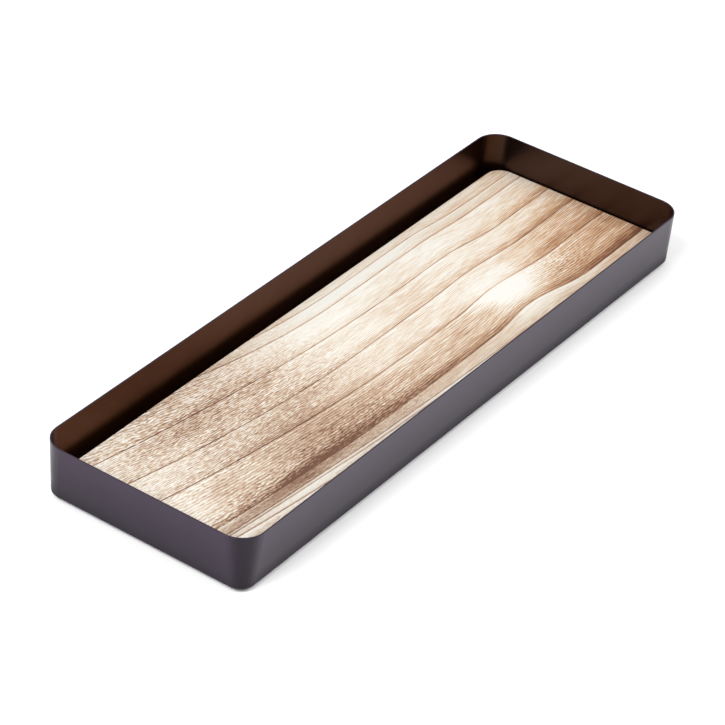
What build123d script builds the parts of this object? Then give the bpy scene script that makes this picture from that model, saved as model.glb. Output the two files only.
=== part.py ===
"""Long serving tray: a pressed sheet-steel pan with a loose wooden board lying in it.

The length runs along X, the width along Y and the height along Z. The origin is on the
table, under the centre of the pan. All sizes are in millimetres.
"""
from build123d import *
import os

# Steel pan, pressed from one sheet. Its walls lean out towards the rim.
RIM_LENGTH = 400.0
RIM_WIDTH = 130.0
RIM_CORNER_RADIUS = 14.0
PAN_HEIGHT = 33.0
WALL_LEAN = 2.5  # how much further out the rim is than the base, on each side
BASE_CORNER_RADIUS = 8.0
SHEET = 0.8
BASE_BEND_RADIUS = 2.0  # outside of the bend between base and wall
RIM_EDGE_ROUND = 0.25

# Feet, stuck under the pan.
FOOT_DIAMETER = 14.0
FOOT_HEIGHT = 1.5
FOOT_EDGE_ROUND = 0.4
FOOT_INSET = 24.0  # from the base's edge to the foot's centre

# Wooden board, loose in the pan on its own pads. It is cut smaller than the pan's floor,
# and it lies against the right-hand end and the front wall.
BOARD_PLAY = 5.0  # how much shorter and narrower it is than the space at its underside
BOARD_THICKNESS = 10.0
BOARD_CORNER_RADIUS = 10.0
BOARD_EDGE_ROUND = 0.6
WALL_CLEARANCE = 0.3
PAD_DIAMETER = 18.0
PAD_THICKNESS = 1.5
PAD_INSET = 22.0  # from the board's edge to the pad's centre

# Heights above the table.
FLOOR_Z = FOOT_HEIGHT + SHEET
BOARD_Z = FLOOR_Z + PAD_THICKNESS
RIM_Z = FOOT_HEIGHT + PAN_HEIGHT

# The four corners that carry a foot or a pad: name, side along X, side along Y.
CORNERS = [
    ("front_left", -1, -1),
    ("front_right", 1, -1),
    ("back_left", -1, 1),
    ("back_right", 1, 1),
]


def lean_at(z):
    """How far the pan's outer wall stands inside the rim at height z, on each side."""
    return WALL_LEAN * (RIM_Z - z) / PAN_HEIGHT


# The board is sized from the space between the inner walls at its underside.
SPACE_INSET = lean_at(BOARD_Z) + SHEET
BOARD_LENGTH = RIM_LENGTH - 2 * SPACE_INSET - BOARD_PLAY
BOARD_WIDTH = RIM_WIDTH - 2 * SPACE_INSET - BOARD_PLAY
BOARD_X = BOARD_PLAY / 2 - WALL_CLEARANCE
BOARD_Y = WALL_CLEARANCE - BOARD_PLAY / 2


def pan_section(z, inset):
    """Horizontal section of the pan's wall at height z, drawn in by inset."""
    drawn_in = lean_at(z) + inset
    share = (z - FOOT_HEIGHT) / PAN_HEIGHT
    radius = BASE_CORNER_RADIUS + (RIM_CORNER_RADIUS - BASE_CORNER_RADIUS) * share
    section = RectangleRounded(
        RIM_LENGTH - 2 * drawn_in, RIM_WIDTH - 2 * drawn_in, radius - inset
    )
    return Pos(0, 0, z) * section


def pan_block(bottom_z, inset, bend_radius):
    """Solid block between bottom_z and the rim, its bottom edge rounded."""
    block = loft([pan_section(bottom_z, inset), pan_section(RIM_Z, inset)], ruled=True)
    bottom_edges = block.faces().sort_by(Axis.Z)[0].edges()
    return fillet(bottom_edges, bend_radius)


def steel_pan():
    """Open pan of one sheet thickness, with its cut rim slightly rounded."""
    outside = pan_block(FOOT_HEIGHT, 0, BASE_BEND_RADIUS)
    inside = pan_block(FLOOR_Z, SHEET, BASE_BEND_RADIUS - SHEET)
    pan = outside - inside
    rim_edges = pan.faces().sort_by(Axis.Z)[-1].edges()
    return fillet(rim_edges, RIM_EDGE_ROUND)


def disc(diameter, height):
    """Flat disc standing on Z = 0."""
    return Cylinder(diameter / 2, height, align=(Align.CENTER, Align.CENTER, Align.MIN))


def foot(side_x, side_y):
    """Soft foot under one corner of the pan, rounded where it meets the table."""
    inset = WALL_LEAN + FOOT_INSET
    x = side_x * (RIM_LENGTH / 2 - inset)
    y = side_y * (RIM_WIDTH / 2 - inset)
    body = disc(FOOT_DIAMETER, FOOT_HEIGHT)
    lower_edge = body.edges().sort_by(Axis.Z)[0]
    return Pos(x, y, 0) * fillet(lower_edge, FOOT_EDGE_ROUND)


def wood_board():
    """Board with rounded corners and eased edges."""
    outline = RectangleRounded(BOARD_LENGTH, BOARD_WIDTH, BOARD_CORNER_RADIUS)
    board = extrude(outline, BOARD_THICKNESS)
    flat_faces = board.faces().sort_by(Axis.Z)
    rims = flat_faces[0].edges() + flat_faces[-1].edges()
    return Pos(BOARD_X, BOARD_Y, BOARD_Z) * fillet(rims, BOARD_EDGE_ROUND)


def board_pad(side_x, side_y):
    """Felt disc glued under one corner of the board."""
    x = BOARD_X + side_x * (BOARD_LENGTH / 2 - PAD_INSET)
    y = BOARD_Y + side_y * (BOARD_WIDTH / 2 - PAD_INSET)
    return Pos(x, y, FLOOR_Z) * disc(PAD_DIAMETER, PAD_THICKNESS)


parts = {"steel_pan": steel_pan(), "wood_board": wood_board()}
for corner, x_side, y_side in CORNERS:
    parts[f"foot_{corner}"] = foot(x_side, y_side)
    parts[f"board_pad_{corner}"] = board_pad(x_side, y_side)

os.makedirs("parts", exist_ok=True)
for name, shape in parts.items():
    export_step(shape, f"parts/{name}.step")
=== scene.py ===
"""The looks of a long serving tray: a painted steel pan with a flamed and brushed board.

Everything is in metres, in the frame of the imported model: the length along X, the width
along Y, and the table at Z = 0.
"""

import math

import bpy
import numpy as np
from mathutils import Matrix, Vector


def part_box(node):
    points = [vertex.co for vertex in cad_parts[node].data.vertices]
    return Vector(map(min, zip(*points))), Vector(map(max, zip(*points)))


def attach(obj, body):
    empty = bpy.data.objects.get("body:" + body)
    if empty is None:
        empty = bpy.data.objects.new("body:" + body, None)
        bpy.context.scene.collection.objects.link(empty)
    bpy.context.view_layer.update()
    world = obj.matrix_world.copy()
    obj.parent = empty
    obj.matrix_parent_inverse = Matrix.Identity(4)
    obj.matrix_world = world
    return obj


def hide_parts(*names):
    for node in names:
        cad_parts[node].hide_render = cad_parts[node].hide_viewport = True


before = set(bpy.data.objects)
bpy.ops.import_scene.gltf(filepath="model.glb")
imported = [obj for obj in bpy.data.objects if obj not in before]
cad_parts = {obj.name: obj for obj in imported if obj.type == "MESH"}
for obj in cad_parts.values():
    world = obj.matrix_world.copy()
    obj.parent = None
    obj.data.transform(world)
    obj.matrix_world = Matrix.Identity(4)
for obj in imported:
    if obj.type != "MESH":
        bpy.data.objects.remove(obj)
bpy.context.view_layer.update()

MM = 0.001


def place_object(name, data):
    """Adds an object made of a mesh, a lamp or a camera to the scene."""
    thing = bpy.data.objects.new(name, data)
    bpy.context.scene.collection.objects.link(thing)
    return thing


# Node trees

class NodeTree:
    """A material's or a world's nodes, with short ways to add and join them."""

    def __init__(self, owner):
        owner.use_nodes = True
        self.tree = owner.node_tree
        self.tree.nodes.clear()

    def add(self, kind, inputs=None, output=0, **settings):
        """Adds a node, sets it up and returns one of its outputs."""
        node = self.tree.nodes.new("ShaderNode" + kind)
        for name, value in settings.items():
            setattr(node, name, value)
        for name, value in (inputs or {}).items():
            if isinstance(value, bpy.types.NodeSocket):
                self.tree.links.new(value, node.inputs[name])
            else:
                node.inputs[name].default_value = value
        return node.outputs[output] if node.outputs else None

    def maths(self, operation, *values):
        return self.add("Math", dict(enumerate(values)), operation=operation)

    def attribute(self, name, output="Fac"):
        return self.add("Attribute", output=output, attribute_name=name)

    def part(self, vector, axis):
        """One of a vector's three parts: X, Y or Z."""
        return self.add("SeparateXYZ", {0: vector}, output=axis)

    def noise(self, vector, scale, detail=3.0, roughness=0.5):
        """Noise around 0.5, at the given number of waves per metre along each axis."""
        stretched = self.add("Mapping", {"Vector": vector, "Scale": scale})
        inputs = {"Vector": stretched, "Scale": 1.0, "Detail": detail, "Roughness": roughness}
        return self.add("TexNoise", inputs)

    def remap(self, value, low, high, to_low=0.0, to_high=1.0):
        """Takes low..high to to_low..to_high, clamped at both ends."""
        return self.add("MapRange", {0: value, 1: low, 2: high, 3: to_low, 4: to_high})

    def about_zero(self, noise, reach):
        """Takes the usual range of a noise to -reach..reach."""
        return self.remap(noise, 0.2, 0.8, -reach, reach)

    def ramp(self, value, stops):
        """A colour for each value, from stops of (position, linear colour)."""
        output = self.add("ValToRGB", {"Fac": value})
        elements = output.node.color_ramp.elements
        elements[0].position = stops[0][0]
        elements[1].position = stops[-1][0]
        for position, _ in stops[1:-1]:
            elements.new(position)
        for element, (_, colour) in zip(elements, stops):
            element.color = (*colour, 1.0)
        return output

    def mix(self, share, first, second, blend="MIX"):
        """Colour mix of two linear colours or sockets."""
        output = self.add(
            "Mix", {"Factor": share}, output="Result", data_type="RGBA", blend_type=blend
        )
        node = output.node
        for index, value in ((6, first), (7, second)):
            if isinstance(value, bpy.types.NodeSocket):
                self.tree.links.new(value, node.inputs[index])
            else:
                node.inputs[index].default_value = (*value, 1.0)
        return node.outputs[2]

    def surface(self, **inputs):
        """The Principled shader, joined to the output."""
        named = {name.replace("_", " "): value for name, value in inputs.items()}
        shader = self.add("BsdfPrincipled", named)
        self.add("OutputMaterial", {"Surface": shader})


def linear(red, green, blue):
    """Linear colour from 0 to 255 screen values."""
    shares = (value / 255 for value in (red, green, blue))
    return tuple(s / 12.92 if s <= 0.04045 else ((s + 0.055) / 1.055) ** 2.4 for s in shares)


# The wood's growth rings, and its scorching with a painted sheen. Places on the board are
# in millimetres from the tray's centre.

# Growth-ring lines, from front to back. The ones beyond the board's edges show on its
# sides. Each has its place across the board, the bow that lifts it towards the left end
# and where that bow starts, how far it bulges round the knot, how far it drops towards the
# right end, and how brown the late wood above it is.
RINGS = [
    # across, bow, bow starts at, bulge, drop, late wood
    (-88.0, 2.8e-4, 60.0, 1.0, 3.0, 0.10),
    (-77.0, 2.8e-4, 60.0, 1.0, 3.0, 0.10),
    (-67.0, 2.8e-4, 60.0, 1.0, 3.0, 0.15),
    (-57.5, 2.8e-4, 60.0, 1.0, 1.0, 0.10),
    (-51.7, 1.85e-4, 90.0, 0.0, 4.0, 0.04),
    (-49.3, 1.7e-4, 90.0, 0.0, 4.0, 0.25),
    (-40.0, 3.0e-4, 0.0, 3.5, 3.7, 0.38),
    (-14.9, 4.6e-4, 25.0, 2.2, 1.8, 0.14),
    (5.3, 5.9e-4, 5.0, 1.0, 2.0, 0.14),
    (24.6, 4.1e-4, 60.0, 0.4, 4.0, 0.12),
    (42.8, 1.2e-3, 22.0, 0.0, 2.3, 0.08),
    (51.0, 1.1e-3, 30.0, 0.0, 3.2, 0.08),
    (62.0, 1.2e-3, 40.0, 0.0, 3.2, 0.08),
    (76.0, 1.2e-3, 40.0, 0.0, 3.2, 0.08),
]
FIRST_RING = -3  # the number of the first line, so that the one at -57.5 counts as 0
KNOT_X = 89.0
KNOT_WIDTH = 23.0
DROP_START = 98.0
DROP_END = 142.0
LINE_UNEVENNESS = 0.4
RING_PITCH = 18.0  # how wide a ring counts as when fibres are laid across it
RING_TILT = 0.45  # how far a ring moves across for each step down through the board

# Late wood gets browner by this share between these two places along the board.
RIGHT_BROWNING = 0.5
BROWNING_START = 100.0
BROWNING_END = 150.0

# Patches that the flame browned (strength above 0) or left pale (below 0). The pale
# patches in the middle are partly a painted highlight, the sheen of the light on the wood.
PALE_SHADE = 0.08
SCORCH_AND_SHEEN = [
    # along, across, reach along, reach across, strength
    (-100.0, 20.0, 60.0, 70.0, 0.30),
    (-118.0, 33.0, 30.0, 7.0, 0.20),
    (-155.0, 36.0, 20.0, 6.0, 0.12),
    (-110.0, 54.0, 40.0, 5.0, 0.12),
    (-66.0, 27.0, 14.0, 5.0, 0.20),
    (-142.0, 22.0, 20.0, 4.0, -0.12),
    (-102.0, 13.0, 12.0, 4.0, -0.16),
    (-55.0, 4.0, 22.0, 5.0, 0.14),
    (-75.0, -14.0, 50.0, 14.0, 0.09),
    (-62.0, -22.0, 50.0, 14.0, 0.16),
    (-152.0, -17.0, 14.0, 10.0, 0.18),
    (-142.0, -25.0, 12.0, 4.0, 0.12),
    (-90.0, -34.5, 60.0, 5.0, 0.30),
    (-135.0, -37.0, 50.0, 4.5, 0.36),
    (-85.0, -27.0, 45.0, 7.0, 0.12),
    (-130.0, -45.0, 55.0, 4.0, -0.34),
    (-152.0, -38.5, 30.0, 3.0, -0.22),
    (-155.0, -47.0, 26.0, 3.0, 0.28),
    (-5.0, 32.0, 38.0, 20.0, -0.10),
    (-20.0, -14.0, 34.0, 5.0, -0.08),
    (-10.0, 21.0, 50.0, 4.0, 0.09),
    (10.0, 0.0, 90.0, 6.0, 0.06),
    (15.0, -26.0, 85.0, 10.0, 0.24),
    (0.0, -39.0, 65.0, 5.0, 0.24),
    (40.0, 48.0, 60.0, 5.0, -0.18),
    (95.0, 33.0, 18.0, 8.0, -0.08),
    (48.0, 18.0, 30.0, 6.0, 0.10),
    (52.0, -20.0, 24.0, 12.0, 0.09),
    (92.0, -20.0, 24.0, 15.0, -0.30),
    (92.0, -40.0, 18.0, 8.0, -0.08),
    (20.0, -47.0, 60.0, 4.0, -0.13),
    (195.0, -8.0, 55.0, 12.0, 0.34),
    (150.0, 0.0, 50.0, 5.0, 0.08),
    (150.0, -11.0, 20.0, 3.5, 0.20),
    (185.0, -26.0, 38.0, 10.0, 0.44),
    (130.0, -32.0, 24.0, 8.0, 0.26),
    (145.0, -36.0, 8.0, 3.5, 0.12),
    (190.0, -40.0, 50.0, 7.0, 0.30),
    (150.0, -62.0, 80.0, 4.0, 0.25),
    (190.0, 6.0, 45.0, 5.0, 0.18),
    (200.0, 16.0, 45.0, 12.0, 0.18),
    (195.0, 32.0, 45.0, 10.0, 0.10),
    (190.0, 56.0, 20.0, 5.0, 0.18),
]


def smooth_noise(along, across, seed):
    """Noise from -1 to 1 that changes smoothly, with about one bump per unit."""
    size = 256
    lattice = np.random.default_rng(seed).uniform(-1, 1, (size, size))
    col, row = np.floor(along).astype(int), np.floor(across).astype(int)
    right, up = along - col, across - row
    right, up = right * right * (3 - 2 * right), up * up * (3 - 2 * up)

    def corner(step_col, step_row):
        return lattice[(col + step_col) % size, (row + step_row) % size]

    low = corner(0, 0) * (1 - right) + corner(1, 0) * right
    high = corner(0, 1) * (1 - right) + corner(1, 1) * right
    return low * (1 - up) + high * up


def smooth_step(value, start, end):
    """Rises smoothly from 0 at start to 1 at end."""
    share = np.clip((value - start) / (end - start), 0, 1)
    return share * share * (3 - 2 * share)


def ring_line(x, ring):
    """How far across the board a growth-ring line lies, at x along it."""
    across, bow, bow_start, bulge, drop, _ = ring
    lifted = bow * np.maximum(0, bow_start - x) ** 2
    bulged = bulge * np.exp(-(((x - KNOT_X) / KNOT_WIDTH) ** 2))
    return across + lifted + bulged - drop * smooth_step(x, DROP_START, DROP_END)


def ring_fields(x, y, depth):
    """Growth rings at each point: the ring's number, its width and how brown it is.

    The number is whole on each line and grows steadily between two lines.
    """
    shifted = y + RING_TILT * depth + LINE_UNEVENNESS * smooth_noise(x / 35, y / 60, 11)
    lines = [ring_line(x, ring) for ring in RINGS]
    number = np.full_like(x, FIRST_RING)
    width = lines[1] - lines[0]
    brown = np.full_like(x, RINGS[0][-1])
    for low, high, ring in zip(lines, lines[1:], RINGS):
        number += np.clip((shifted - low) / (high - low), 0, 1)
        width = np.where(shifted > low, high - low, width)
        brown = np.where(shifted > low, ring[-1], brown)
    browning = 1 + RIGHT_BROWNING * smooth_step(x, BROWNING_START, BROWNING_END)
    return number, width, brown * browning


def scorch_and_sheen(x, y):
    """How brown the flame left the wood, paler where a sheen is painted, as a shade from 0 to
    1.
    """
    shade = np.full_like(x, PALE_SHADE)
    for along, across, reach_along, reach_across, strength in SCORCH_AND_SHEEN:
        spread = ((x - along) / reach_along) ** 2 + ((y - across) / reach_across) ** 2
        shade += strength * np.exp(-spread)
    return shade


# The brushed top. Where smooth_noise is called, each place is divided by a bump's size.

RIPPLE_SLANT = 20  # degrees between the curly ridges and the board's length
RIPPLE_HEIGHT = 0.05
RIPPLE_LIMIT = 1.2  # ripples are cut off here, so that the top stays inside its box

# How curly the fibres are at most, and where: towards the left end, except along a calm
# strip, and in one spot beyond the knot.
MOST_CURL = 0.9
CURL_START = 40.0
CURL_END = -70.0
CALM_SHARE = 0.6
CALM_Y = -14.0
CALM_WIDTH = 13.0
SPOT_CURL = 0.7
SPOT_X = 135.0
SPOT_Y = -26.0
SPOT_LENGTH = 24.0
SPOT_WIDTH = 12.0


def curl_share(x, y):
    """How curly the fibres are, from 0 to 1."""
    spread = ((x - SPOT_X) / SPOT_LENGTH) ** 2 + ((y - SPOT_Y) / SPOT_WIDTH) ** 2
    spot = SPOT_CURL * np.exp(-spread)
    calm = 1 - CALM_SHARE * np.exp(-(((y - CALM_Y) / CALM_WIDTH) ** 2))
    return MOST_CURL * np.maximum(smooth_step(-x, -CURL_START, -CURL_END) * calm, spot)


def slanted_ripples(x, across):
    """Short wavy ridges at a slant to the board's length, from about -1 to 1."""
    turn = math.radians(RIPPLE_SLANT)
    u = x * math.cos(turn) + across * math.sin(turn)
    v = across * math.cos(turn) - x * math.sin(turn)
    v = v + 0.8 * smooth_noise(x / 9, across / 7, 20)
    broad = smooth_noise(u / 3.4, v / 1.1, 21)
    fine = smooth_noise(u / 2.2, v / 0.8, 22)
    return 0.7 * broad + 0.5 * fine


def straight_ripples(x, across):
    """Ridges along the board's length, from about -1 to 1."""
    broad = smooth_noise(x / 7, across / 1.1, 23)
    fine = smooth_noise(x / 3.5, across / 0.7, 24)
    return 0.7 * broad + 0.4 * fine


def ripples(x, across, curl):
    """The ridges that brushing leaves on the top, from about -1 to 1."""
    return slanted_ripples(x, across) * curl + straight_ripples(x, across) * (1 - curl)


# The board's mesh, in millimetres around its own middle until its points are placed.
# Its top is a grid of columns along the board and rows across it.

BOARD_CORNER = 10.0
BOARD_EASE = 0.6
EASE_ANGLES = [30, 60, 90]  # where the eased edges have their rows
EDGE_WEAR = 0.05
WEAR_PITCH = 5.0  # how many points of the border each dent of the wear takes up
TOP_COLUMNS = 250
TOP_ROWS = 241
ARC_STEPS = 8
SIDE_ROWS = 8
UNDER_ROWS = 8


def outline_columns(half_length, half_width, radius):
    """Place along the board of each column of the grid, and half the width there."""
    turn = np.linspace(0, math.pi / 2, ARC_STEPS, endpoint=False)
    arc_x = half_length - radius + radius * np.cos(turn)
    arc_half = half_width - radius + radius * np.sin(turn)
    straight = np.linspace(-(half_length - radius), half_length - radius, TOP_COLUMNS)
    along = np.concatenate([-arc_x, straight, arc_x[::-1]])
    half = np.concatenate([arc_half, np.full(TOP_COLUMNS, half_width), arc_half[::-1]])
    return along, half


def grid_points(columns, half_widths, shares):
    """For each column, one point at each share of its half width."""
    along = np.repeat(columns, len(shares))
    return np.column_stack([along, np.outer(half_widths, shares).ravel()])


def top_index(column, row):
    """A top point's number."""
    return column * TOP_ROWS + row


def border_indices(count):
    """Numbers of the top's border points: front side, right end, back side, left end."""
    last_col, last_row = count - 1, TOP_ROWS - 1
    border = [top_index(c, 0) for c in range(count)]
    border += [top_index(last_col, r) for r in range(1, TOP_ROWS)]
    border += [top_index(c, last_row) for c in range(last_col - 1, -1, -1)]
    border += [top_index(0, r) for r in range(last_row - 1, 0, -1)]
    return border


def side_steps(thickness):
    """Steps down the board's side: each one's distance out from the top's border, and its
    depth under the top face."""
    turn = np.radians(EASE_ANGLES)
    upper = zip(BOARD_EASE * np.sin(turn), BOARD_EASE * (1 - np.cos(turn)))
    depths = np.linspace(BOARD_EASE, thickness - BOARD_EASE, SIDE_ROWS + 1)[1:]
    lower = zip(BOARD_EASE * np.cos(turn), thickness - BOARD_EASE * (1 - np.sin(turn)))
    return [*upper, *((BOARD_EASE, depth) for depth in depths), *lower]


def board_points(half, columns, half_widths, border, steps):
    """All the points, as along, across and depth under the top face: the top, one loop for
    each step down the side, and the underside."""
    thickness = 2 * half[2]
    core = half[:2] - BOARD_CORNER
    top = grid_points(columns, half_widths, np.linspace(-1, 1, TOP_ROWS))
    rim = top[border]
    outward = rim - np.clip(rim, -core, core)
    outward /= np.linalg.norm(outward, axis=1, keepdims=True)
    points = [np.column_stack([top, np.zeros(len(top))])]
    phase = np.arange(len(border)) / WEAR_PITCH
    for out, drop in steps:
        level = np.full(len(border), drop)
        wear = EDGE_WEAR * (1 + smooth_noise(phase, level, 31))
        points.append(np.column_stack([rim + outward * (out - wear)[:, None], level]))
    shares = np.linspace(-1, 1, UNDER_ROWS + 1)[1:-1]
    under = grid_points(columns[1:-1], half_widths[1:-1], shares)
    points.append(np.column_stack([under, np.full(len(under), thickness)]))
    return np.concatenate(points)


def top_faces(count):
    """The top's grid."""
    faces = []
    for c in range(count - 1):
        for r in range(TOP_ROWS - 1):
            faces.append((top_index(c, r), top_index(c + 1, r),
                          top_index(c + 1, r + 1), top_index(c, r + 1)))
    return faces


def side_faces(loops):
    """A band of faces between each loop of points and the next."""
    faces = []
    for upper, lower in zip(loops, loops[1:]):
        for i in range(len(upper)):
            j = (i + 1) % len(upper)
            faces.append((upper[i], lower[i], lower[j], upper[j]))
    return faces


def under_faces(count, bottom, first):
    """The underside, between the lowest loop and its own points, numbered from first.

    It has fewer rows than that loop has, so the faces at its two ends are many-sided.
    """
    last_col, last_row = count - 1, TOP_ROWS - 1
    front, right = bottom[:count], bottom[last_col:last_col + TOP_ROWS]
    back = bottom[last_col + last_row:2 * last_col + last_row + 1][::-1]
    left = [bottom[0]] + bottom[:2 * last_col + last_row - 1:-1]
    stride = last_row // UNDER_ROWS

    def under_point(c, r):
        if r == 0:
            return front[c]
        if r == UNDER_ROWS:
            return back[c]
        return first + (c - 1) * (UNDER_ROWS - 1) + r - 1

    faces = []
    for c in range(1, count - 2):
        for r in range(UNDER_ROWS):
            faces.append((under_point(c, r), under_point(c, r + 1),
                          under_point(c + 1, r + 1), under_point(c + 1, r)))
    for r in range(UNDER_ROWS):
        span = range(r * stride, (r + 1) * stride + 1)
        faces.append((under_point(1, r + 1), under_point(1, r), *[left[k] for k in span]))
        faces.append((under_point(last_col - 1, r), under_point(last_col - 1, r + 1),
                      *[right[k] for k in reversed(span)]))
    return faces


def board_faces(count, border, steps):
    """All the faces, in the same order as the points."""
    loops = [border]
    first = count * TOP_ROWS
    for _ in steps:
        loops.append(list(range(first, first + len(border))))
        first += len(border)
    return top_faces(count) + side_faces(loops) + under_faces(count, loops[-1], first)


def wood_board(material):
    """The board as one closed mesh with a brushed top, eased edges and end grain."""
    low, high = (np.array(corner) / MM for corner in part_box("wood_board"))
    centre, half = (low + high) / 2, (high - low) / 2
    columns, half_widths = outline_columns(
        half[0] - BOARD_EASE, half[1] - BOARD_EASE, BOARD_CORNER - BOARD_EASE
    )
    count = len(columns)
    border = border_indices(count)
    steps = side_steps(2 * half[2])
    points = board_points(half, columns, half_widths, border, steps)

    x, y, depth = points[:, 0] + centre[0], points[:, 1] + centre[1], points[:, 2]
    number, width, brown = ring_fields(x, y, depth)
    across = number * RING_PITCH
    curl = curl_share(x, y)
    ripple = ripples(x, across, curl)
    z = high[2] - depth
    top = slice(0, count * TOP_ROWS)
    z[top] += RIPPLE_HEIGHT * (np.clip(ripple[top], -RIPPLE_LIMIT, RIPPLE_LIMIT) - RIPPLE_LIMIT)

    mesh = bpy.data.meshes.new("brushed_board")
    mesh.from_pydata(np.column_stack([x, y, z]) * MM, [], board_faces(count, border, steps))
    mesh.validate()
    mesh.shade_smooth()
    # The scorch field also carries a painted sheen.
    fields = {
        "ring": number, "ring_width": width, "late_wood": brown,
        "scorch_and_sheen": scorch_and_sheen(x, y), "ripple": ripple, "curl": curl,
    }
    for name, values in fields.items():
        mesh.attributes.new(name, "FLOAT", "POINT").data.foreach_set("value", values)
    wave = 0.4 * curl * smooth_noise(x / 7, across / 4, 25)
    grain = np.column_stack([x, across + wave, z]) * MM
    mesh.attributes.new("grain", "FLOAT_VECTOR", "POINT").data.foreach_set(
        "vector", grain.ravel()
    )
    mesh.materials.append(material)
    board = place_object("brushed_board", mesh)
    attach(board, "board")
    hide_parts("wood_board")


# The wood's material. A shade runs from 0, the palest wood, to 1, the darkest. Places
# come from the attribute grain, in which every ring is equally wide, and distances from
# the ring lines are in millimetres.

WOOD_SHADES = [
    # shade, screen colour when lit
    (0.0, (252, 249, 241)),
    (0.1, (243, 232, 215)),
    (0.3, (219, 197, 175)),
    (0.5, (193, 164, 139)),
    (0.7, (166, 132, 107)),
    (0.85, (144, 108, 86)),
    (1.0, (115, 80, 62)),
]
WOOD_SHARE = 0.63  # the wood's own brightness, as a share of how bright it is lit
WARM_TINT = (1.10, 0.935, 0.76)  # the brown is redder towards the right end
LINE_SHADE_LEFT = 0.60
LINE_SHADE_RIGHT = 0.38
EDGE_SHADE = -0.06
CLOUD_SHADE = 0.06

# The brushed texture: noises in waves per metre, and how much shade each one adds. Its
# stripes and ripples are partly painted shading of the brushed relief.
SHORT_FIBRES = (360, 2300, 2300)
LONG_FIBRES = (110, 2300, 2300)
FIBRE_SHADE = 0.52
STREAKS = (30, 800, 800)
STREAK_SHADE = 0.12
WANDER = (240, 650, 650)
FIBRE_PITCH = 1.05  # millimetres from one brushed ridge to the next
# Ridge stripes: partly the wood's colour, partly painted shading of the brushed ridges.
RIDGE_GRAIN_AND_PAINTED_SHADE = 0.24
# Painted shade: ripple hollows are coloured darker and crests paler.
RIPPLE_PAINTED_SHADE = -0.04
CLOUDS = (45, 170, 170)

# How strong the texture is: more on brown and on curly wood, and less on the sides.
PALE_TEXTURE = 0.32
BROWN_TEXTURE = 0.7
STRAIGHT_TEXTURE = 0.9
CURLY_TEXTURE = 1.3
SIDE_TEXTURE = 0.4
BOARD_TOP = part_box("wood_board")[1].z


def ring_shade(nodes, along):
    """The shade under the texture, and the shade that the ring lines and edges add."""
    width = nodes.attribute("ring_width")
    above = nodes.maths("MULTIPLY", nodes.maths("FRACT", nodes.attribute("ring")), width)
    below = nodes.maths("SUBTRACT", width, above)

    # Late wood ends below in a thin dark line, with a pale edge under it.
    band = nodes.remap(above, 2.5, 11.0, 1.0, 0.0)
    band = nodes.maths("MULTIPLY", band, band)
    # The scorch field here includes a painted sheen.
    shade = nodes.maths(
        "MULTIPLY_ADD", nodes.attribute("late_wood"), band, nodes.attribute("scorch_and_sheen")
    )
    line = nodes.remap(above, 0.35, 1.15, 1.0, 0.0)
    strength = nodes.remap(along, -180 * MM, 0.0, LINE_SHADE_LEFT, LINE_SHADE_RIGHT)
    edge = nodes.remap(below, 0.2, 2.2, 1.0, 0.0)
    line = nodes.maths("MULTIPLY", line, strength)
    return shade, nodes.maths("MULTIPLY_ADD", edge, EDGE_SHADE, line)


def texture_strength(nodes, grain, shade):
    """How strongly the brushed texture shows."""
    strength = nodes.remap(shade, 0.0, 0.4, PALE_TEXTURE, BROWN_TEXTURE)
    curly = nodes.remap(
        nodes.attribute("curl"), 0.0, MOST_CURL, STRAIGHT_TEXTURE, CURLY_TEXTURE
    )
    on_top = nodes.remap(
        nodes.part(grain, "Z"), BOARD_TOP - 1.2 * MM, BOARD_TOP - 0.4 * MM, SIDE_TEXTURE, 1.0
    )
    return nodes.maths("MULTIPLY", nodes.maths("MULTIPLY", strength, curly), on_top)


def brushed_fibres(nodes, grain):
    """Fine fibres, short where the wood is curly and long where it is straight."""
    long_fibres = nodes.noise(grain, LONG_FIBRES, detail=1)
    short_fibres = nodes.noise(grain, SHORT_FIBRES, detail=1)
    shorter = nodes.maths("SUBTRACT", short_fibres, long_fibres)
    curly = nodes.remap(nodes.attribute("curl"), 0.0, 0.6)
    return nodes.maths("MULTIPLY_ADD", curly, shorter, long_fibres)


def brushed_texture(nodes, grain, fibres):
    """Fibres, evenly spaced ridges that wander more on curly wood, and faint streaks."""
    wander = nodes.noise(grain, WANDER, detail=2)
    bend = nodes.remap(nodes.attribute("curl"), 0.0, MOST_CURL, 5.0, 10.0)
    phase = nodes.maths("MULTIPLY", nodes.maths("SUBTRACT", wander, 0.5), bend)
    phase = nodes.maths(
        "MULTIPLY_ADD", nodes.part(grain, "Y"), math.tau / (FIBRE_PITCH * MM), phase
    )
    # The ridges' pale and dark stripes are partly painted shading.
    ridges = nodes.maths("SINE", phase)
    streaks = nodes.noise(grain, STREAKS, detail=2)
    texture = nodes.maths(
        "MULTIPLY_ADD", ridges, RIDGE_GRAIN_AND_PAINTED_SHADE, nodes.about_zero(fibres, FIBRE_SHADE)
    )
    texture = nodes.maths("ADD", texture, nodes.about_zero(streaks, STREAK_SHADE))
    # Painted shade: the ripples' hollows darker, their crests paler.
    return nodes.maths("MULTIPLY_ADD", nodes.attribute("ripple"), RIPPLE_PAINTED_SHADE, texture)


def wood_colour(nodes, shade, along):
    """The wood's colour at each shade, warmer towards the right end."""
    colour = nodes.ramp(shade, [
        (position, tuple(WOOD_SHARE * value for value in linear(*seen)))
        for position, seen in WOOD_SHADES
    ])
    warmth = nodes.maths(
        "MULTIPLY", nodes.remap(along, -100 * MM, 150 * MM), nodes.remap(shade, 0.05, 0.5)
    )
    return nodes.mix(warmth, colour, WARM_TINT, blend="MULTIPLY")


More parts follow.
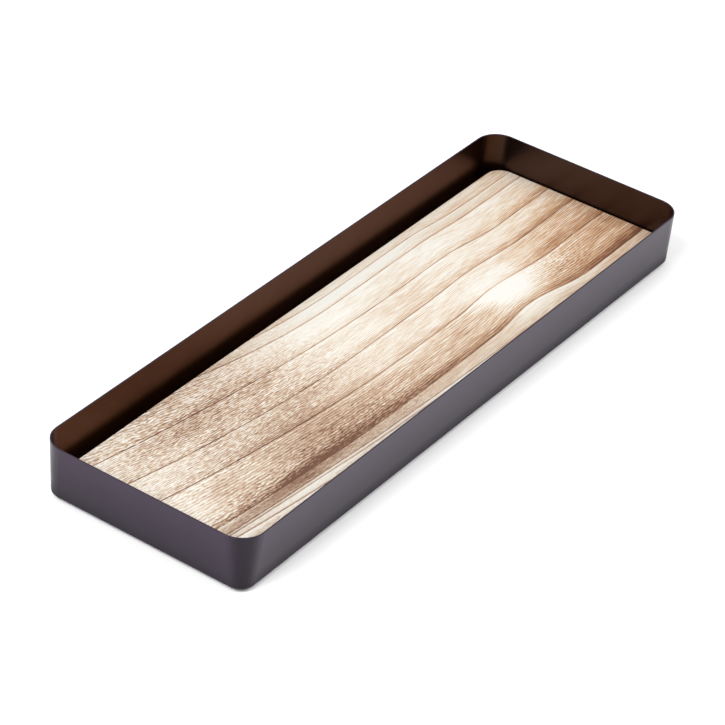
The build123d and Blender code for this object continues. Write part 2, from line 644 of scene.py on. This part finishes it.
def wood_material():
    """Flamed and brushed wood: pale early wood, brown late wood and fine open fibres."""
    nodes = NodeTree(material := bpy.data.materials.new("flamed_wood"))
    grain = nodes.attribute("grain", "Vector")
    along = nodes.part(grain, "X")
    shade, lines = ring_shade(nodes, along)
    strength = texture_strength(nodes, grain, shade)
    fibres = brushed_fibres(nodes, grain)
    shade = nodes.maths(
        "MULTIPLY_ADD", brushed_texture(nodes, grain, fibres), strength, shade
    )
    shade = nodes.maths("ADD", shade, lines)
    clouds = nodes.noise(grain, CLOUDS, detail=3)
    shade = nodes.maths("ADD", shade, nodes.about_zero(clouds, CLOUD_SHADE))
    bump = nodes.add("Bump", {"Height": fibres, "Strength": 0.6, "Distance": 0.3 * MM})
    nodes.surface(
        Base_Color=wood_colour(nodes, shade, along),
        Roughness=nodes.remap(shade, 0.0, 1.0, 0.55, 0.75),
        Normal=bump,
        Specular_IOR_Level=0.26,
    )
    return material


# The pan

RIM_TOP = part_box("steel_pan")[1].z
RIM_ROUND = 0.26 * MM  # the rounded top of the rim is painted as the outside is

# Scales a place so that long and short walls count alike in telling inside from outside.
FACING_SCALE = (0.32, 1.0, 0.0)

OUTER_PAINT = linear(40, 30, 44), linear(47, 36, 52)
# Inside lacquer tints; their difference between long and short walls is painted reflection.
LONG_WALL_LACQUER_AND_REFLECTION = linear(74, 46, 26), linear(84, 53, 31)
SHORT_WALL_LACQUER_AND_REFLECTION = linear(66, 50, 43), linear(75, 57, 49)
# Painted shade outside: darker at the base and round the corners, for darker reflections there.
BASE_PAINTED_SHADE = 0.5
CORNER_PAINTED_SHADE = 0.4


def inside_share(nodes, place, normal, height):
    """1 on the pan's inside and 0 on its outside.

    A wall's inside faces the middle of the tray, and the floor's inside faces up.
    """
    facing = nodes.add("VectorMath", {0: place, 1: FACING_SCALE}, operation="MULTIPLY")
    turned_in = nodes.add(
        "VectorMath", {0: facing, 1: normal}, output="Value", operation="DOT_PRODUCT"
    )
    up = nodes.maths("MULTIPLY", nodes.part(normal, "Z"), 0.02)
    inside = nodes.remap(nodes.maths("SUBTRACT", up, turned_in), -0.001, 0.001)
    below_rim = nodes.maths("LESS_THAN", height, RIM_TOP - RIM_ROUND)
    return nodes.maths("MULTIPLY", inside, below_rim)


def outer_painted_shade(nodes, normal, to_the_side, height):
    """Painted shade: the outside darkens towards the base and round the corners."""
    rounding = nodes.maths("MULTIPLY", to_the_side, nodes.part(normal, "Y"))
    rounding = nodes.maths("ABSOLUTE", rounding)
    rounding = nodes.remap(rounding, 0.15, 0.45, 1.0, CORNER_PAINTED_SHADE)
    upwards = nodes.remap(height, 3 * MM, 30 * MM, BASE_PAINTED_SHADE, 1.0)
    return nodes.maths("MULTIPLY", upwards, rounding)


def pan_material():
    """Dark satin paint outside and darker glossy bronze lacquer inside, with painted shade and
    reflection.
    """
    nodes = NodeTree(material := bpy.data.materials.new("pan_paint"))
    place = nodes.add("TexCoord", output="Object")
    normal = nodes.add("NewGeometry", output="Normal")
    height = nodes.part(place, "Z")
    to_the_side = nodes.maths("ABSOLUTE", nodes.part(normal, "X"))
    inside = inside_share(nodes, place, normal, height)

    mottle = nodes.noise(place, (40, 40, 40), detail=3)
    outer = nodes.mix(mottle, *OUTER_PAINT)
    # Painted shade: the outside is darkened towards the base and round the corners.
    brightness = outer_painted_shade(nodes, normal, to_the_side, height)
    outer = nodes.mix(brightness, (0.0, 0.0, 0.0), outer)
    # Painted reflection: long and short inner walls get different lacquer tints.
    long_wall = nodes.mix(mottle, *LONG_WALL_LACQUER_AND_REFLECTION)
    short_wall = nodes.mix(mottle, *SHORT_WALL_LACQUER_AND_REFLECTION)
    inner = nodes.mix(to_the_side, long_wall, short_wall)

    peel = nodes.noise(place, (900, 900, 900), detail=2)
    bump = nodes.add("Bump", {"Height": peel, "Strength": 0.12, "Distance": 0.05 * MM})
    nodes.surface(
        Base_Color=nodes.mix(inside, outer, inner),
        Metallic=inside,
        Roughness=nodes.remap(height, 2 * MM, 11 * MM, 0.60, 0.30),
        Normal=bump,
        IOR=1.33,
        Specular_Tint=(0.93, 0.87, 0.97, 1.0),
    )
    return material


def dress_pan(material):
    """Paints the CAD pan."""
    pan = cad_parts["steel_pan"]
    pan.data.materials.clear()
    pan.data.materials.append(material)


# Feet and felt discs, which are hidden until the tray or the board is lifted

# Half outlines, from the middle of the underside to the middle of the top: share of the
# radius and share of the height.
FOOT_OUTLINE = [
    (0.40, 0.10), (0.70, 0.02), (0.80, 0.0), (0.91, 0.0), (0.97, 0.10), (1.0, 0.30),
    (1.0, 0.80), (0.96, 0.84), (0.96, 1.0), (0.5, 1.0),
]
FELT_OUTLINE = [
    (0.5, 0.0), (0.94, 0.0), (0.985, 0.10), (1.0, 0.3), (1.0, 0.7), (0.985, 0.90),
    (0.94, 1.0), (0.5, 1.0),
]
FOOT_WEAR = 0.01
FELT_WEAR = 0.025
DISC_SIDES = 72
SHARP_ANGLE = math.radians(40)


def disc_faces(levels):
    """Faces of a turned disc: two fans, round a middle point below and one above, and the
    bands between its rings of points."""
    top_row = (levels - 1) * DISC_SIDES
    under = levels * DISC_SIDES
    over = under + 1
    faces = []
    for side in range(DISC_SIDES):
        after = (side + 1) % DISC_SIDES
        faces.append((under, after, side))
        faces.append((over, top_row + side, top_row + after))
        for row in range(0, top_row, DISC_SIDES):
            above = row + DISC_SIDES
            faces.append((row + side, row + after, above + after, above + side))
    return faces


def turned_disc(node_name, outline, wear, material, body):
    """A round pad that fills its CAD node, its edge uneven by a share of the radius."""
    low, high = (np.array(corner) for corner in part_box(node_name))
    centre = (low + high) / 2
    turn = np.linspace(0, math.tau, DISC_SIDES, endpoint=False)
    rows = []
    for level, (reach, rise) in enumerate(outline):
        uneven = smooth_noise(10 + 4 * np.cos(turn), 0.4 * level + 4 * np.sin(turn), 41)
        radius = (high[0] - centre[0]) * reach * (1 - wear * (1 + uneven) / 2)
        height = np.full(DISC_SIDES, low[2] + rise * (high[2] - low[2]))
        rows.append(np.column_stack([
            centre[0] + radius * np.cos(turn), centre[1] + radius * np.sin(turn), height
        ]))
    points = np.concatenate(rows)
    middles = [(centre[0], centre[1], points[index, 2]) for index in (0, -1)]

    piece_name = f"turned_{node_name}"
    mesh = bpy.data.meshes.new(piece_name)
    mesh.from_pydata(np.concatenate([points, middles]), [], disc_faces(len(outline)))
    mesh.validate()
    mesh.shade_smooth()
    mesh.set_sharp_from_angle(angle=SHARP_ANGLE)
    mesh.materials.append(material)
    piece = place_object(piece_name, mesh)
    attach(piece, body)
    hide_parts(node_name)


def pad_material(name, dark, light, waves, roughness):
    """Rubber or felt: a mottled colour with a fine rough surface."""
    nodes = NodeTree(material := bpy.data.materials.new(name))
    place = nodes.add("TexCoord", output="Object")
    speck = nodes.noise(place, (waves, waves, waves), detail=4, roughness=0.7)
    bump = nodes.add("Bump", {"Height": speck, "Strength": 0.6, "Distance": 0.2 * MM})
    nodes.surface(Base_Color=nodes.mix(speck, dark, light), Roughness=roughness, Normal=bump)
    return material


def dress_small_parts():
    """Replaces each CAD foot and board pad with a turned disc."""
    rubber = pad_material("soft_rubber", linear(28, 28, 30), linear(52, 52, 55), 1800, 0.85)
    felt = pad_material("pressed_felt", linear(96, 88, 80), linear(150, 140, 130), 1500, 0.95)
    for name in sorted(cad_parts):
        if name.startswith("foot"):
            turned_disc(name, FOOT_OUTLINE, FOOT_WEAR, rubber, "pan")
        elif name.startswith("board_pad"):
            turned_disc(name, FELT_OUTLINE, FELT_WEAR, felt, "board")


# Floor, light and camera

FLOOR_SIZE = 6.0
FLOOR_GREYS = (0.86, 0.86, 0.86), (0.88, 0.88, 0.88)

SKY_STRENGTH = 0.78
LAMPS = [
    # name, place, size, power
    ("left", (-1.5, 0.3, 1.7), 1.2, 46),
    ("right", (0.8, -1.3, 1.8), 1.2, 22),
    ("front", (0.7, -1.5, 1.5), 1.4, 6),
]

CAMERA_AIM = Vector((-19.8, -3.3, 17.0)) * MM
CAMERA_DISTANCE = 1.674
CAMERA_AZIMUTH = math.radians(-56.64)
CAMERA_ELEVATION = math.radians(34.83)
CAMERA_ROLL = math.radians(4.56)
CAMERA_LENS = 158.7


def lay_floor():
    """A plain pale floor."""
    nodes = NodeTree(material := bpy.data.materials.new("white_floor"))
    place = nodes.add("TexCoord", output="Object")
    faint = nodes.noise(place, (6, 6, 6), detail=2)
    nodes.surface(Base_Color=nodes.mix(faint, *FLOOR_GREYS), Roughness=0.9)
    mesh = bpy.data.meshes.new("floor")
    side = FLOOR_SIZE / 2
    corners = [(-side, -side, 0), (side, -side, 0), (side, side, 0), (-side, side, 0)]
    mesh.from_pydata(corners, [], [(0, 1, 2, 3)])
    mesh.materials.append(material)
    floor = place_object("floor", mesh)


def soft_box(name, place, size, power):
    """A square area lamp that points at the tray."""
    lamp = bpy.data.lights.new(name, "AREA")
    lamp.size = size
    lamp.energy = power
    box = place_object(name, lamp)
    box.location = place
    box.rotation_euler = (-Vector(place)).to_track_quat("-Z", "Y").to_euler()


def light_the_studio():
    """A white surround and soft boxes."""
    world = bpy.data.worlds.new("studio")
    bpy.context.scene.world = world
    nodes = NodeTree(world)
    background = nodes.add("Background", {"Color": (1, 1, 1, 1), "Strength": SKY_STRENGTH})
    nodes.add("OutputWorld", {"Surface": background})
    for name, place, size, power in LAMPS:
        soft_box(name, place, size, power)


def place_camera():
    """The camera, turned round the tray and up, aimed and then rolled."""
    back = Vector((
        math.sin(CAMERA_AZIMUTH) * math.cos(CAMERA_ELEVATION),
        -math.cos(CAMERA_AZIMUTH) * math.cos(CAMERA_ELEVATION),
        math.sin(CAMERA_ELEVATION),
    ))
    right = Vector((math.cos(CAMERA_AZIMUTH), math.sin(CAMERA_AZIMUTH), 0))
    up = back.cross(right)
    level = Matrix((right, up, back)).transposed()
    lens = bpy.data.cameras.new("camera")
    lens.lens = CAMERA_LENS
    lens.sensor_width = 36.0
    camera = place_object("camera", lens)
    camera.matrix_world = (
        Matrix.Translation(CAMERA_AIM + back * CAMERA_DISTANCE)
        @ (level @ Matrix.Rotation(CAMERA_ROLL, 3, "Z")).to_4x4()
    )
    bpy.context.scene.camera = camera


place_camera()
light_the_studio()
lay_floor()
dress_pan(pan_material())
wood_board(wood_material())
dress_small_parts()

bpy.context.scene.view_settings.view_transform = "Standard"
bpy.context.scene.view_settings.look = "None"
